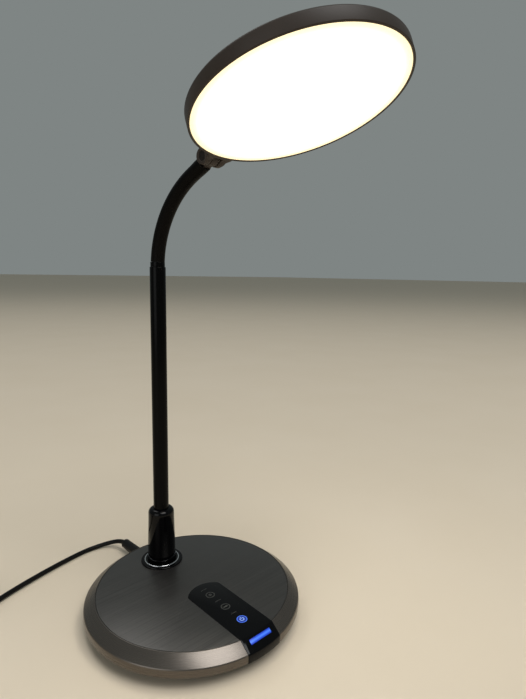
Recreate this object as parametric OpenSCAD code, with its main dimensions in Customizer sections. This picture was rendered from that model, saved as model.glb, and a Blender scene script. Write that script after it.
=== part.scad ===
// LED desk lamp: a weighted round base with a touch strip, an upright stem, a bendable neck
// and a flat round head on a tilt hinge, with its supply cord plugged in at the back.
// Millimetres, +Z up. The origin is the centre of the base on the table. The touch strip faces -Y.

/* [Base] */
// Diameter of the base over its side band
base_d = 180; // [172:1:200]
// Height of the top plate's upper face above the table
base_h = 24; // [23:0.5:30]
// Width of the sloped rim, seen from above
rim_w = 8.8; // [7:0.1:11]
// Drop of the sloped rim
rim_drop = 6.8; // [5:0.1:8]
// Height of the upright side band under the rim
band_h = 6.3; // [4:0.1:8]
// Wall of the base shell
shell_wall = 3; // [2.6:0.1:4]
// Thickness of the shell's deck under the top plate
deck_t = 2.4; // [2:0.1:3]
// Thickness of the brushed top plate
plate_t = 1.6; // [1.2:0.1:2]
// Flat lip of the shell around the top plate
lip_w = 0.5; // [0.4:0.1:1]
// How far the pan's floor stands in from the side band
pan_in = 16; // [13:0.5:19]
// Thickness of the pan's floor and walls
pan_t = 2.5; // [2:0.1:3]
// How far the pan's upper edge stands in from the side band
pan_step = 2; // [1.6:0.1:2.4]
// Thickness of the foot pad
pad_t = 2; // [1.5:0.1:3]
// Diameter of the posts that take the pan's screws
post_d = 7; // [6:0.5:9]

/* [Touch strip] */
// Width of the touch strip
strip_w = 32; // [28:1:36]
// Distance from the base's centre to the strip's inner end
strip_start = 6; // [4:0.5:10]
// Radius of the strip's bowed inner end
strip_end_r = 20; // [18:1:26]
// Rounding of the strip's two inner corners
strip_corner = 5; // [3:0.5:6]
// Thickness of the touch strip
strip_t = 1.9; // [1.7:0.1:2.2]
// How far the strip stands proud of the base
strip_proud = 0.35; // [0.2:0.05:0.6]
// Distance from the base's centre to the first touch key
key_start = 23; // [21:0.5:25]
// Distance from the last touch key to the rim's upper edge
key_end = 18.2; // [17:0.1:22]
// Length of the light bar on the sloped rim
bar_l = 20; // [14:1:24]
// Width of the light bar, down the slope
bar_w = 3.6; // [2.5:0.1:4.5]

/* [Collar and stem] */
// Distance from the stem's axis to the base's back edge
stem_in = 39.5; // [34:0.5:42]
// Outer diameter of the stem tube
stem_d = 13.6; // [13:0.1:16]
// Wall of the stem tube
stem_wall = 0.8; // [0.6:0.1:1.2]
// Height of the stem tube's top above the table
stem_top = 292; // [240:1:340]
// Diameter of the collar at its foot
collar_d = 25.4; // [24:0.1:28]
// Diameter of the collar under its rounded shoulder
collar_top_d = 23.2; // [22:0.1:25]
// Height of the collar
collar_h = 51; // [40:1:60]
// Radius of the collar's rounded shoulder
collar_round = 4.5; // [2:0.1:4.6]
// Outer diameter of the trim ring around the collar
ring_d = 37.6; // [36:0.1:42]
// Height of the trim ring's flat flange
ring_t = 1.2; // [1:0.1:2]
// Diameter of the stem's thread below the tube
thread_d = 10; // [9:0.5:10.5]

/* [Neck] */
// Outer diameter of the bendable neck
neck_d = 11.8; // [11:0.1:12.2]
// Length of one neck link, from pivot to pivot
link_l = 7.4; // [7:0.1:9]
// Rest bend at every second link
link_angle = 10.2; // [4:0.1:11]
// Height of the first neck pivot over the stem's top
root_h = 6; // [4:0.5:12]
// Turn of the neck's bending plane away from the front
neck_turn = 8.7; // [-45:0.1:45]
// Length from the last link's end to the tilt hinge
tip_l = 14.7; // [13:0.1:18]

/* [Head] */
// Outer diameter of the head
head_d = 150; // [140:1:170]
// Rise of the head's plane at rest
head_rise = 19.1; // [0:0.1:40]
// Wall of the head shell
head_wall = 1.6; // [1.4:0.1:2]
// Thickness of the head shell's back
back_t = 1.8; // [1.4:0.1:2.4]
// Radius of the head shell's rounded back edge
back_round = 2.4; // [1:0.1:3]
// How far the diffuser sits behind the shell's front edge
front_inset = 0.4; // [0.2:0.1:0.8]
// Thickness of the opal diffuser
diffuser_t = 2.5; // [1.5:0.1:3]
// Thickness of the clear light guide
guide_t = 4; // [3:0.1:5]
// Thickness of the white reflector sheet
reflector_t = 0.3; // [0.2:0.1:0.6]
// Thickness of the aluminium back plate
heat_t = 1; // [0.8:0.1:1.5]
// Number of light-emitting chips around the light guide
led_count = 36; // [24:1:40]
// Distance from the head's rim to the tilt pin
hinge_out = 8.3; // [7.8:0.1:12]
// Radius of the hinge's rounded end
hinge_r = 6.5; // [6:0.1:6.8]
// Width of the hinge over its two ears
hinge_w = 18; // [16:0.5:22]
// Width of the hinge where it meets the rim
hinge_root_w = 26; // [22:0.5:32]
// Thickness of the tongue between the ears
tongue_t = 7; // [6:0.5:8]
// Diameter of the tilt pin
pin_d = 4; // [3:0.1:4.5]

/* [Cord] */
// Diameter of the supply cord
cord_d = 4.4; // [4:0.1:4.8]
// Diameter of the moulded plug where it meets the base
plug_d = 11; // [9:0.1:11]
// Diameter of the moulded plug where the cord leaves it
plug_tail_d = 8.8; // [6:0.1:9]
// Mean diameter of the put-away coil
coil_d = 49.7; // [47:0.1:53]
// Turns in each of the coil's four layers
coil_turns = 2.028; // [1.8:0.001:2.3]

/* [Fits] */
// Gap between a fixed part and the hole or slot it sits in
fit = 0.15; // [0.1:0.05:0.2]
// Gap around a pressed-in pin or barrel
press = 0.02; // [0.01:0.01:0.05]
// Visible seam between the top plate and the shell's lip
seam = 0.3; // [0.2:0.05:0.5]
// Radial clearance of the tilt pin in the tongue
pin_fit = 0.05; // [0.02:0.01:0.1]
// Radial clearance of a neck ball in its socket
ball_fit = 0.25; // [0.2:0.05:0.3]
// Gap on each side of the tongue, beside its washer
washer_gap = 0.1; // [0.05:0.05:0.2]
// Gap between neighbouring turns of the coil
turn_gap = 0.5; // [0.45:0.05:0.8]

/* [Hidden] */
$fn = 96;
// Overlap of joined shapes, and how far a cutting shape runs past the faces it cuts
eps = 0.01;
cut = 1;

// Base, from the table up
base_r = base_d / 2;
rim_r = base_r - rim_w;
rim_z = base_h - rim_drop;
band_z = rim_z - band_h;
rim_angle = atan2(rim_drop, rim_w);
plate_z = base_h - plate_t;
deck_z = plate_z - deck_t;
lip_r = rim_r - lip_w;
plate_r = lip_r - seam;
inner_r = base_r - shell_wall;
inner_slope_z = rim_z - shell_wall * tan(rim_angle / 2);
inner_top_r = inner_r - (deck_z - inner_slope_z) / tan(rim_angle);
floor_z = pad_t + pan_t;
pan_r = base_r - pan_in;
pan_top_r = base_r - pan_step;
pan_slope = (pan_top_r - pan_r) / (band_z - pad_t);
post_edge = 2.5;
post_at = pan_r - post_d / 2 - post_edge;
post_angles = [45, 135, 225, 315];
weight_gap = 0.5;
weight_r = post_at - post_d / 2 - weight_gap;
pad_edge = 3;
pad_r = pan_r - pad_edge;
pan_screw_d = 2.8;
pan_screw_l = 9;
screw_head_d = 5.4;
screw_head_t = 1.7;

// Supply socket at the back of the pan
jack_w = 9;
jack_h = 11;
jack_l = 13;
jack_z = floor_z + jack_h / 2;
jack_wall = 1.8;
jack_in = 2.5;
jack_face = pan_top_r - jack_in;
jack_front = jack_face - jack_wall;
barrel_d = 5.5;
barrel_bore = 2.5;
barrel_l = 9.5;
jack_pin_d = 2;
jack_hole_d = barrel_d + 1;
plug_front = jack_face + fit;
plug_l = 35.2;
plug_grip_l = plug_l / 4;
plug_notch_d = plug_d + 1.6;

// Touch strip and its board
strip_top = base_h + strip_proud;
corner_x = strip_w / 2 - strip_corner;
corner_turn = asin(corner_x / (strip_end_r - strip_corner));
corner_y = (strip_end_r - strip_corner) * cos(corner_turn);
key_pitch = (rim_r - key_end - key_start) / 2;
key_y = [for (i = [0:2]) -(key_start + i * key_pitch)];
window_edge = 5;
window_w = strip_w - 2 * window_edge;
board_t = 1.6;
board_edge = 1;
board_w = strip_w - 2 * board_edge;
board_front = rim_r - 3 * board_edge;
board_back = strip_start + 2 * board_edge;
board_z = deck_z - board_t;
window_in = 4.5;
window_back = board_back + window_in;
window_front = board_front - window_in;
pad_ring_d = 12;
pad_ring_bore = 5;
led_size = 2;
bar_out = 2.7;
bar_at = rim_r + bar_out;
bar_z = base_h - bar_out * tan(rim_angle);
bar_depth = 4;
board_screw_d = 2.2;
board_screw_head = 3.6;
board_screw_head_t = 1.2;
board_screw_short = 0.4;
board_screw_in = 2.2;
board_screw_l = board_t + deck_t - board_screw_short;

// Driver board, hung from the deck to the left of the strip
driver_size = [28, 44];
driver_gap = 12;
driver_y = 8;
driver_at = [-(strip_w / 2 + driver_gap + driver_size[0] / 2), driver_y];
driver_drop = 4.2;
driver_z = deck_z - driver_drop - board_t;
driver_hole_in = 3;
driver_hole = [driver_size[0] / 2 - driver_hole_in, driver_size[1] / 2 - driver_hole_in];
driver_corners = [for (x = [-1, 1]) for (y = [-1, 1]) [x * driver_hole[0], y * driver_hole[1]]];
driver_boss_d = 5.5;
choke_size = 7.6;
part_gap = 0.6;
part_h = driver_drop - part_gap;
capacitor_d = 6.3;
strip_corners = [for (x = [-1, 1]) for (y = [board_back + board_screw_in, board_front - board_screw_in])
    [x * (board_w / 2 - board_screw_in), -y]];

// Collar and stem
stem_y = base_r - stem_in;
collar_r = collar_d / 2;
ring_bore = collar_d + 2 * fit;
bead_r = 0.6;
bead_in = 2.3;
bead_at = ring_bore / 2 + bead_in;
stem_bore = stem_d - 2 * stem_wall;
lead_d = 4;
lead_bore = lead_d + 2 * fit;
bush_l = 20;
washer_d = 20;
washer_t = 1.5;
nut_w = 16;
nut_h = 5;
thread_over = 1.5;
thread_l = washer_t + nut_h + thread_over;
thread_z = deck_z - thread_l;
lead_out = 1;
lead_z = thread_z - lead_out;
weight_t = lead_z - weight_gap - floor_z;

// Neck: pivot positions in the bending plane, as distance out from the stem and height
link_count = 12;
neck_r = neck_d / 2;
ball_in = 0.3;
ball_r = neck_r - ball_in;
socket_r = ball_r + ball_fit;
link_start = 0.9;
socket_lip = 1.7;
root_l = 24;
first_pivot = stem_top + root_h;
lead_top = first_pivot - ball_r - 2;
function lean(k) = link_angle * ceil(k / 2);
function pivot(k) = k <= 1 ? [0, first_pivot]
    : pivot(k - 1) + link_l * [sin(lean(k - 1)), cos(lean(k - 1))];
neck_end = pivot(link_count + 1);
tip_lean = lean(link_count);
tilt_at = neck_end + tip_l * [sin(tip_lean), cos(tip_lean)];
tongue_in = 0.3;
tongue_r = hinge_r - tongue_in;
tongue_neck = 9;
ear_gap = 0.5;
tip_shoulder = tip_l - hinge_r - ear_gap;

// Head, measured from the tilt pin along the head's own plane
head_r = head_d / 2;
head_t = front_inset + diffuser_t + guide_t + reflector_t + heat_t + back_t;
front_z = -head_t / 2;
diffuser_z = front_z + front_inset;
guide_z = diffuser_z + diffuser_t;
reflector_z = guide_z + guide_t;
heat_z = reflector_z + reflector_t;
back_in_z = heat_z + heat_t;
head_at = head_r + hinge_out;
well_r = head_r - head_wall;
led_depth = 1.5;
led_w = 3.5;
led_h = 2.4;
led_strip_t = 1;
led_strip_r = well_r - fit;
led_back_r = sqrt(pow(led_strip_r - led_strip_t, 2) - pow(led_w / 2, 2));
led_face_r = led_back_r - led_depth;
guide_r = led_face_r - fit;
tilt_washer_t = 0.9;
ear_in = tongue_t / 2 + tilt_washer_t + washer_gap;
pin_head_d = 7;
pin_head_t = 1.6;
tilt_nut_w = 7;
tilt_nut_t = 2.6;
pin_short = 0.4;
slot_web = 1;
tilt_washer_d = 10;
head_lead_d = 3;

// Cord: from the plug it swings to the left and down, runs along the table and enters the coil.
// Its curves have a pull along their heading at each end
cord_r = cord_d / 2;
cord_sides = 8;
curve_steps = 9;
plug_end = [0, plug_front + plug_l, jack_z];
swing_at = [-27.5, plug_end[1] + 25.7, cord_r];
plug_way = [0, 1, 0];
swing_way = [-1, 0, 0];
swing_pull = [10.5, 22.2];
run_pull = [13.5, 41.2];
// Far plug, measured from the coil's centre on the table, and the pull of the tail that ends in it
far_plug_at = [-40, 13, 4];
far_plug_size = [16, 23, 8];
far_guard_d = [6.4, 7.4];
far_guard_l = 12;
far_shell_y = far_guard_l + far_plug_size[1];
far_shell_size = [12, 12, 4.5];
far_shell_t = 0.4;
tail_pull = 24;

// Coil: four layers that spiral in and out, wound clockwise from above
coil_at = [-163, plug_end[1] + 11.6];
coil_from = -60;
layers = 4;
coil_sides = 6;
loop_rings = 24;
tie_t = 0.8;
tie_w = 8;
tie_turn = 170;
tie_gap = 0.4;
turn_step = cord_d + turn_gap;
coil_low = tie_t + tie_gap / 4 + cord_r;
coil_total = layers * coil_turns;
coil_in = coil_d / 2 - coil_turns * turn_step / 2;
coil_out = coil_d / 2 + coil_turns * turn_step / 2;
climb = 0.25;
function ramp(x) = x < 0 ? 0 : x > 1 ? 1 : x * x * (3 - 2 * x);
function wave(t) = abs((t / coil_turns + 1) % 2 - 1);
function coil_radius(t) = coil_out - coil_turns * turn_step * wave(t);
function coil_rise(t, k = 1) = k >= layers ? 0
    : turn_step * ramp((t - k * coil_turns + climb) / (2 * climb)) + coil_rise(t, k + 1);
function coil_point(t) = let(a = coil_from - 360 * t)
    [coil_at[0] + coil_radius(t) * cos(a), coil_at[1] + coil_radius(t) * sin(a), coil_low + coil_rise(t)];
function coil_heading(a) = [sin(a), -cos(a), 0];
coil_steps = ceil(coil_total * loop_rings);
coil_middle = [for (i = [0:coil_steps]) coil_point(coil_total * i / coil_steps)];
coil_way = coil_heading(coil_from);
coil_end_way = coil_heading(coil_from - 360 * coil_total);
coil_first = coil_middle[0] - cord_d * coil_way;
coil_last = coil_middle[coil_steps] + cord_d * coil_end_way;
coil_path = concat([coil_first], coil_middle, [coil_last]);
function curve(a, b, c, d) = [for (i = [0:curve_steps]) let(t = i / curve_steps, s = 1 - t)
    s * s * s * a + 3 * s * s * t * b + 3 * s * t * t * c + t * t * t * d];
swing_path = curve(plug_end, plug_end + swing_pull[0] * plug_way,
    swing_at - swing_pull[1] * swing_way, swing_at);
run_path = curve(swing_at, swing_at + run_pull[0] * swing_way,
    coil_first - run_pull[1] * coil_way, coil_first);
lead_path = concat(swing_path, [for (i = [1:curve_steps]) run_path[i]]);
far_plug_point = [coil_at[0], coil_at[1], 0] + far_plug_at;
far_plug_way = [0, 1, 0];
tail_path = curve(coil_last, coil_last + tail_pull * coil_end_way,
    far_plug_point - tail_pull * far_plug_way, far_plug_point);
function path_length(p, i = 0) = i >= len(p) - 1 ? 0 : norm(p[i + 1] - p[i]) + path_length(p, i + 1);
cord_length = path_length(lead_path) + path_length(coil_path) + path_length(tail_path);
function coil_gap() = min([for (i = [0:len(coil_path) - 1])
    for (j = [i + loop_rings / 2:1:len(coil_path) - 1]) norm(coil_path[i] - coil_path[j])]) - cord_d;

// Places a shape on the stem's axis, with X along the neck's bending plane
module at_stem() {
    translate([0, stem_y, 0]) rotate([0, 0, neck_turn - 90]) children();
}

// Places a shape at neck pivot k, with Z along the link that starts there
module at_link(k) {
    at_stem() translate([pivot(k)[0], 0, pivot(k)[1]]) rotate([0, lean(k), 0]) children();
}

// Places a shape at the tilt pin, with X along the head's plane and Z out of its back
module at_head() {
    at_stem() translate([tilt_at[0], 0, tilt_at[1]]) rotate([0, -head_rise, 0]) children();
}

// Places a shape at the middle of the head
module at_head_middle() {
    at_head() translate([head_at, 0, 0]) children();
}

// A disc between two heights
module disc(r, z, t) {
    translate([0, 0, z]) cylinder(r = r, h = t);
}

// A rod along +Y from the point at
module rod_y(d, at, l) {
    translate(at) rotate([-90, 0, 0]) cylinder(d = d, h = l);
}

// One hexagon-headed nut blank across its flats, standing on z
module hexagon(w, z, t) {
    translate([0, 0, z]) cylinder(d = w / cos(30), h = t, $fn = 6);
}

// Outline of the touch strip seen from above, grown by a margin
module strip_outline(grow = 0) {
    half = strip_w / 2 + grow;
    reach = 2 * strip_end_r;
    translate([0, -strip_start - strip_end_r]) union() {
        intersection() {
            circle(r = strip_end_r + grow);
            polygon([[0, 0], reach * [-sin(corner_turn), cos(corner_turn)],
                reach * [sin(corner_turn), cos(corner_turn)]]);
        }
        for (side = [-1, 1]) translate([side * corner_x, corner_y]) circle(r = strip_corner + grow);
        translate([-half, -base_d]) square([2 * half, base_d + corner_y]);
    }
}

// Skin of the base between two depths under its surface, from the middle out over rim and band
module base_skin(over, under) {
    foot = band_z - eps;
    rotate_extrude() polygon([[0, base_h + over], [rim_r + over * tan(rim_angle / 2), base_h + over],
        [base_r + over, rim_z + over * tan((90 - rim_angle) / 2)], [base_r + over, foot],
        [base_r - under, foot], [base_r - under, rim_z - under * tan((90 - rim_angle) / 2)],
        [rim_r - under * tan(rim_angle / 2), base_h - under], [0, base_h - under]]);
}

// A flat bar on the slope of the rim at the front, centred on the light bar
module on_rim() {
    translate([0, -bar_at, bar_z]) rotate([rim_angle, 0, 0]) children();
}

// The light bar's hole through the strip and the shell
module bar_hole() {
    on_rim() translate([-bar_l / 2 - fit, -bar_w / 2 - fit, -2 * bar_depth])
        cube([bar_l + 2 * fit, bar_w + 2 * fit, 3 * bar_depth]);
}

module foot_pad() {
    color([0.09, 0.09, 0.1]) cylinder(r = pad_r, h = pad_t);
}

module base_pan() {
    floor_r = pan_r + pan_slope * pan_t - pan_t;
    color([0.07, 0.07, 0.075]) difference() {
        union() {
            rotate_extrude() polygon([[0, pad_t], [pan_r, pad_t], [pan_top_r, band_z],
                [pan_top_r - pan_t, band_z], [floor_r, floor_z], [0, floor_z]]);
            translate([-jack_w / 2 - fit - jack_wall, jack_front - jack_l, pad_t])
                cube([jack_w + 2 * fit + 2 * jack_wall, jack_l + jack_wall, pan_t + jack_h]);
        }
        translate([-jack_w / 2 - fit, jack_front - jack_l - jack_wall, floor_z])
            cube([jack_w + 2 * fit, jack_l + jack_wall, jack_h + cut]);
        rod_y(jack_hole_d, [0, jack_front - cut, jack_z], jack_wall + 2 * cut);
        rod_y(plug_notch_d, [0, jack_face, jack_z], jack_in + cut);
        for (a = post_angles) rotate(a) translate([post_at, 0, 0]) {
            disc(pan_screw_d / 2 + fit, pad_t - cut, pan_t + 2 * cut);
            disc(screw_head_d / 2 + fit, pad_t - cut, screw_head_t + cut + eps);
        }
    }
}

module pan_screws() {
    color([0.72, 0.72, 0.74]) for (a = post_angles) rotate(a) translate([post_at, 0, 0]) {
        disc(screw_head_d / 2, pad_t + eps, screw_head_t);
        disc(pan_screw_d / 2, pad_t + eps, pan_screw_l);
    }
}

module steel_weight() {
    color([0.45, 0.46, 0.48]) disc(weight_r, floor_z, weight_t);
}

module base_shell() {
    color([0.27, 0.27, 0.28]) difference() {
        union() {
            rotate_extrude() polygon([[0, deck_z], [inner_top_r, deck_z], [inner_r, inner_slope_z],
                [inner_r, band_z], [base_r, band_z], [base_r, rim_z], [rim_r, base_h],
                [lip_r, base_h], [lip_r, plate_z], [0, plate_z]]);
            for (a = post_angles) rotate(a) translate([post_at, 0, 0])
                disc(post_d / 2, floor_z, deck_z - floor_z + eps);
            for (p = driver_corners) translate([driver_at[0] + p[0], driver_at[1] + p[1], 0])
                disc(driver_boss_d / 2, deck_z - driver_drop, driver_drop + eps);
        }
        intersection() {
            base_skin(strip_t, strip_t - strip_proud + fit);
            translate([0, 0, band_z - cut]) linear_extrude(base_h) strip_outline(fit);
        }
        translate([-window_w / 2, -window_front, deck_z - cut])
            cube([window_w, window_front - window_back, deck_t + 2 * cut]);
        bar_hole();
        rod_y(plug_notch_d, [0, inner_r - shell_wall, jack_z], 3 * shell_wall);
        translate([0, stem_y, deck_z - cut]) cylinder(d = thread_d + 2 * fit, h = deck_t + 2 * cut);
        for (a = post_angles) rotate(a) translate([post_at, 0, 0])
            disc(pan_screw_d / 2 + fit, floor_z - cut, pan_screw_l + cut);
        for (p = strip_corners) translate([p[0], p[1], 0])
            disc(board_screw_d / 2 + fit, deck_z - cut, deck_t + 2 * cut);
        for (p = driver_corners) translate([driver_at[0] + p[0], driver_at[1] + p[1], 0])
            disc(board_screw_d / 2 + fit, deck_z - driver_drop - cut, driver_drop);
    }
}

module top_plate() {
    color([0.33, 0.33, 0.33]) difference() {
        disc(plate_r, plate_z, plate_t);
        translate([0, 0, plate_z - cut]) linear_extrude(plate_t + 2 * cut) strip_outline(fit);
        translate([0, stem_y, plate_z - cut]) cylinder(d = thread_d + 2 * fit, h = plate_t + 2 * cut);
    }
}

module touch_strip() {
    color([0.03, 0.03, 0.035]) difference() {
        intersection() {
            base_skin(strip_proud, strip_t - strip_proud);
            translate([0, 0, band_z]) linear_extrude(base_h) strip_outline();
        }
        bar_hole();
    }
}

module light_bar() {
    color([0.2, 0.4, 1]) on_rim() translate([-bar_l / 2, -bar_w / 2, strip_proud - bar_depth])
        cube([bar_l, bar_w, bar_depth]);
}

module touch_board() {
    color([0.05, 0.25, 0.12]) difference() {
        translate([-board_w / 2, -board_front, board_z])
            cube([board_w, board_front - board_back, board_t]);
        for (p = strip_corners) translate([p[0], p[1], 0])
            disc(board_screw_d / 2 + fit, board_z - cut, board_t + 2 * cut);
    }
}

module touch_pads() {
    color([0.2, 0.2, 0.2]) for (y = key_y) translate([0, y, deck_z]) difference() {
        cylinder(d = pad_ring_d, h = strip_top - strip_t - deck_z);
        translate([0, 0, -cut]) cylinder(d = pad_ring_bore, h = base_h);
    }
}

module indicator_leds() {
    color([0.9, 0.9, 0.8]) for (y = key_y) translate([-led_size / 2, y - led_size / 2, deck_z])
        cube([led_size, led_size, led_size / 2]);
}

// One board screw with its head under the board at height z
module board_screw(p, z) {
    translate([p[0], p[1], z]) {
        translate([0, 0, -board_screw_head_t]) cylinder(d = board_screw_head, h = board_screw_head_t);
        cylinder(d = board_screw_d, h = board_screw_l);
    }
}

module board_screws() {
    color([0.72, 0.72, 0.74]) {
        for (p = strip_corners) board_screw(p, board_z);
        for (p = driver_corners) board_screw(driver_at + p, driver_z);
    }
}

module driver_board() {
    color([0.05, 0.25, 0.12]) difference() {
        translate([driver_at[0] - driver_size[0] / 2, driver_at[1] - driver_size[1] / 2, driver_z])
            cube([driver_size[0], driver_size[1], board_t]);
        for (p = driver_corners) translate([driver_at[0] + p[0], driver_at[1] + p[1], 0])
            disc(board_screw_d / 2 + fit, driver_z - cut, board_t + 2 * cut);
    }
}

module driver_choke() {
    color([0.25, 0.25, 0.26]) translate([driver_at[0], driver_at[1] + choke_size, driver_z + board_t])
        translate([-choke_size / 2, -choke_size / 2, 0]) cube([choke_size, choke_size, part_h]);
}

module driver_capacitor() {
    color([0.7, 0.7, 0.72]) translate([driver_at[0], driver_at[1] - capacitor_d, driver_z + board_t])
        cylinder(d = capacitor_d, h = part_h);
}

module dc_jack() {
    color([0.06, 0.06, 0.06]) difference() {
        translate([-jack_w / 2, jack_front - jack_l, floor_z]) cube([jack_w, jack_l, jack_h]);
        rod_y(barrel_d + 2 * fit, [0, jack_front - barrel_l - fit, jack_z], barrel_l + cut);
        rod_y(jack_pin_d + 2 * press, [0, jack_front - jack_l - cut, jack_z], jack_l);
    }
}

module jack_pin() {
    color([0.8, 0.75, 0.5]) rod_y(jack_pin_d, [0, jack_front - jack_l, jack_z], jack_l - cut);
}

module trim_ring() {
    color([0.03, 0.03, 0.035]) translate([0, stem_y, base_h]) difference() {
        union() {
            cylinder(d = ring_d, h = ring_t);
            translate([0, 0, ring_t]) rotate_extrude() translate([bead_at, 0]) circle(r = bead_r, $fn = 32);
        }
        translate([0, 0, -cut]) cylinder(d = ring_bore, h = ring_t + 2 * cut);
    }
}

module collar() {
    shoulder_r = collar_top_d / 2;
    color([0.03, 0.03, 0.035]) translate([0, stem_y, base_h]) difference() {
        union() {
            cylinder(r1 = collar_r, r2 = shoulder_r, h = collar_h - collar_round);
            rotate_extrude() translate([shoulder_r - collar_round, collar_h - collar_round])
                circle(r = collar_round);
            translate([0, 0, eps]) cylinder(r = shoulder_r - collar_round, h = collar_h - eps);
        }
        translate([0, 0, -cut]) cylinder(d = stem_d + 2 * fit, h = collar_h + 2 * cut);
    }
}

module stem_tube() {
    color([0.035, 0.035, 0.04]) translate([0, stem_y, base_h]) difference() {
        cylinder(d = stem_d, h = stem_top - base_h);
        translate([0, 0, -cut]) cylinder(d = stem_bore, h = stem_top - base_h + 2 * cut);
    }
}

module stem_bush() {
    color([0.7, 0.71, 0.73]) translate([0, stem_y, 0]) difference() {
        union() {
            disc(stem_bore / 2 - fit, base_h, bush_l);
            disc(thread_d / 2, thread_z, base_h - thread_z + eps);
        }
        disc(lead_bore / 2, thread_z - cut, base_h - thread_z + bush_l + 2 * cut);
    }
}

module stem_washer() {
    color([0.72, 0.72, 0.74]) translate([0, stem_y, 0]) difference() {
        disc(washer_d / 2, deck_z - washer_t, washer_t);
        disc(thread_d / 2 + fit, deck_z - washer_t - cut, washer_t + 2 * cut);
    }
}

module stem_nut() {
    top = deck_z - washer_t;
    color([0.72, 0.72, 0.74]) translate([0, stem_y, 0]) difference() {
        hexagon(nut_w, top - nut_h, nut_h);
        disc(thread_d / 2 + fit, top - nut_h - cut, nut_h + 2 * cut);
    }
}

module stem_lead() {
    color([0.1, 0.1, 0.1]) translate([0, stem_y, 0]) disc(lead_d / 2, lead_z, lead_top - lead_z);
}

module neck_root() {
    color([0.035, 0.035, 0.04]) translate([0, stem_y, first_pivot]) difference() {
        union() {
            translate([0, 0, stem_top - first_pivot])
                cylinder(r = neck_r, h = first_pivot - stem_top - socket_lip);
            translate([0, 0, stem_top - first_pivot - root_l])
                cylinder(r = stem_bore / 2 - fit, h = root_l + eps);
        }
        sphere(r = socket_r);
        translate([0, 0, -root_l * 2]) cylinder(d = lead_bore, h = root_l * 2);
    }
}

// One neck link: a ball at its own pivot, a barrel, and a socket for the next link's ball
module neck_link(k) {
    last = k == link_count;
    color([0.035, 0.035, 0.04]) at_link(k) difference() {
        union() {
            sphere(r = ball_r);
            translate([0, 0, link_start])
                cylinder(r = neck_r, h = link_l - link_start - (last ? 0 : socket_lip));
        }
        if (!last) translate([0, 0, link_l]) sphere(r = socket_r);
        translate([0, 0, -neck_d]) cylinder(d = lead_bore, h = neck_d + 2 * link_l);
    }
}

module neck_tip() {
    color([0.06, 0.06, 0.06]) at_link(link_count) translate([0, 0, link_l]) difference() {
        union() {
            cylinder(r = neck_r, h = tip_shoulder);
            translate([-tongue_neck / 2, -tongue_t / 2, tip_shoulder - eps])
                cube([tongue_neck, tongue_t, tip_l - tip_shoulder]);
            rod_y(2 * tongue_r, [0, -tongue_t / 2, tip_l], tongue_t);
        }
        rod_y(pin_d + 2 * pin_fit, [0, -tongue_t, tip_l], 2 * tongue_t);
        translate([0, 0, -cut]) cylinder(d = lead_bore, h = tip_shoulder);
    }
}

// The hinge block on the head's rim, before its slot and bores are cut
module hinge_block() {
    reach = hinge_out + head_wall / 2;
    intersection() {
        rotate([90, 0, 0]) translate([0, 0, -hinge_root_w]) linear_extrude(2 * hinge_root_w) union() {
            circle(r = hinge_r);
            translate([0, front_z]) square([hinge_out + head_r, head_t]);
        }
        translate([0, 0, -head_t]) linear_extrude(2 * head_t) polygon([
            [-hinge_r, -hinge_w / 2], [0, -hinge_w / 2], [reach, -hinge_root_w / 2],
            [2 * reach, -hinge_root_w / 2], [2 * reach, hinge_root_w / 2],
            [reach, hinge_root_w / 2], [0, hinge_w / 2], [-hinge_r, hinge_w / 2]]);
    }
}

module head_shell() {
    color([0.2, 0.18, 0.17]) at_head() difference() {
        union() {
            translate([head_at, 0, 0]) {
                disc(head_r, front_z, head_t - back_round);
                disc(head_r - back_round, front_z, head_t);
                translate([0, 0, head_t / 2 - back_round]) rotate_extrude()
                    translate([head_r - back_round, 0]) circle(r = back_round);
            }
            hinge_block();
        }
        translate([head_at, 0, 0]) disc(well_r, front_z - cut, back_in_z - front_z + cut);
        translate([-2 * hinge_r, -ear_in, -head_t])
            cube([2 * hinge_r + hinge_out - slot_web, 2 * ear_in, 2 * head_t]);
        rod_y(pin_d + 2 * pin_fit, [0, -hinge_w, 0], 2 * hinge_w);
        rod_y(pin_head_d + 2 * fit, [0, hinge_w / 2 - pin_head_t, 0], hinge_w);
        translate([0, -hinge_w / 2 + tilt_nut_t, 0]) rotate([90, 0, 0])
            hexagon(tilt_nut_w + 2 * fit, 0, hinge_w);
        rotate([0, 90, 0]) cylinder(d = head_lead_d, h = hinge_out + 2 * head_wall);
    }
}

module tilt_pin() {
    color([0.6, 0.6, 0.62]) at_head() {
        rod_y(pin_d, [0, -hinge_w / 2 + pin_short, 0], hinge_w - pin_head_t);
        rod_y(pin_head_d, [0, hinge_w / 2 - pin_head_t, 0], pin_head_t);
    }
}

module tilt_nut() {
    color([0.6, 0.6, 0.62]) at_head() difference() {
        translate([0, -hinge_w / 2 + tilt_nut_t, 0]) rotate([90, 0, 0])
            hexagon(tilt_nut_w, 0, tilt_nut_t - pin_short);
        rod_y(pin_d + 2 * pin_fit, [0, -hinge_w, 0], hinge_w);
    }
}

module tilt_washers() {
    color([0.8, 0.8, 0.78]) at_head() for (side = [-1, 1])
        translate([0, side * (ear_in - tilt_washer_t / 2) - tilt_washer_t / 2, 0]) difference() {
            rod_y(tilt_washer_d, [0, 0, 0], tilt_washer_t);
            rod_y(pin_d + 2 * pin_fit, [0, -cut, 0], tilt_washer_t + 2 * cut);
        }
}

module back_plate() {
    color([0.75, 0.76, 0.78]) at_head_middle() disc(well_r - fit, heat_z, heat_t);
}

module reflector() {
    color([0.95, 0.95, 0.95]) at_head_middle() disc(guide_r, reflector_z, reflector_t);
}

module light_guide() {
    color([0.9, 0.93, 0.95]) at_head_middle() disc(guide_r, guide_z, guide_t);
}

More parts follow.
